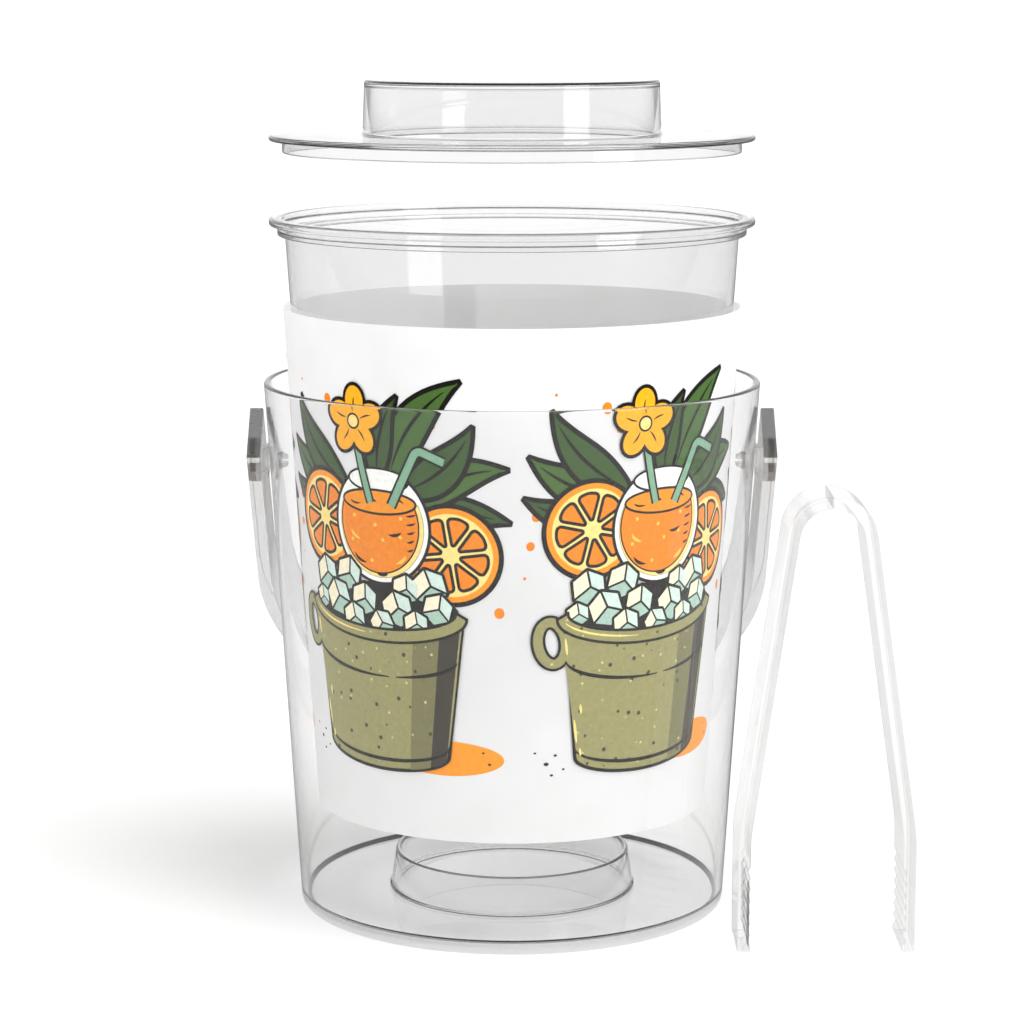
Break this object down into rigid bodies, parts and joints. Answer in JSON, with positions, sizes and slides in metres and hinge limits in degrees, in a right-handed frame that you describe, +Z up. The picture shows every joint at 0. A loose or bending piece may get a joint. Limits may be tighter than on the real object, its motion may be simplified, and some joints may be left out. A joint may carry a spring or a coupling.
{
  "type": "ice bucket",
  "caption": "Clear double-walled ice bucket with a printed sleeve, lift-out liner, lid with a hollow knob, swinging bail handle and sprung tongs.",
  "frame": {"origin": "centre of the shell's flat underside, on the surface that the bucket stands on", "axes": "+Z up along the bucket's axis, +X to the right through the right-hand pivot, -Y towards the front, where the tongs stand"},
  "size_m": [0.2311, 0.189, 0.2941],
  "materials": {
    "clear_plastic": "polished clear acrylic",
    "clear_bail": "polished clear acrylic strip with cut edges",
    "clear_tongs": "polished clear acrylic strip with cut edges",
    "printed_paper": "smooth coated white paper, printed in colour"
  },
  "bodies": {
    "shell": {"outer_shell": "clear_plastic", "liner_rest_ring": "clear_plastic"},
    "liner": {"liner": "clear_plastic"},
    "lid": {"lid": "clear_plastic"},
    "sleeve": {"printed_sleeve": "printed_paper"},
    "bail": {"bail_handle": "clear_bail", "pivot_pin_left": "clear_bail", "pivot_pin_right": "clear_bail"},
    "tongs_bow": {"tongs_bow": "clear_tongs"},
    "tongs_left": {"tongs_arm_left": "clear_tongs"},
    "tongs_right": {"tongs_arm_right": "clear_tongs"}
  },
  "joints": [
    {"name": "liner_lift", "type": "slide", "parent": "shell", "child": "liner", "axis": [0, 0, 1], "range_m": [-0.0578, 0.131]},
    {"name": "lid_lift", "type": "slide", "parent": "liner", "child": "lid", "axis": [0, 0, 1], "range_m": [-0.0264, 0]},
    {"name": "sleeve_lift", "type": "slide", "parent": "shell", "child": "sleeve", "axis": [0, 0, 1], "range_m": [-0.034, 0.0771]},
    {"name": "bail_swing", "type": "hinge", "parent": "shell", "child": "bail", "pos_m": [0, 0, 0.1594], "axis": [-1, 0, 0], "range_deg": [-96, 0]},
    {"name": "tongs_lift", "type": "slide", "parent": "shell", "child": "tongs_bow", "axis": [0, 0, -1], "range_m": [-0.06, 0]},
    {"name": "tongs_squeeze_left", "type": "hinge", "parent": "tongs_bow", "child": "tongs_left", "pos_m": [0.0943, -0.06, 0.1442], "axis": [0, 1, 0], "range_deg": [-9.8, 0], "stiffness_Nm_per_rad": 1.5},
    {"name": "tongs_squeeze_right", "type": "hinge", "parent": "tongs_bow", "child": "tongs_right", "pos_m": [0.1205, -0.06, 0.1442], "axis": [0, 1, 0], "range_deg": [0, 9.8]}
  ],
  "couplings": [
    {"joint": "sleeve_lift", "follows": "liner_lift", "ratio": 0.5882},
    {"joint": "tongs_squeeze_right", "follows": "tongs_squeeze_left", "ratio": -1}
  ]
}
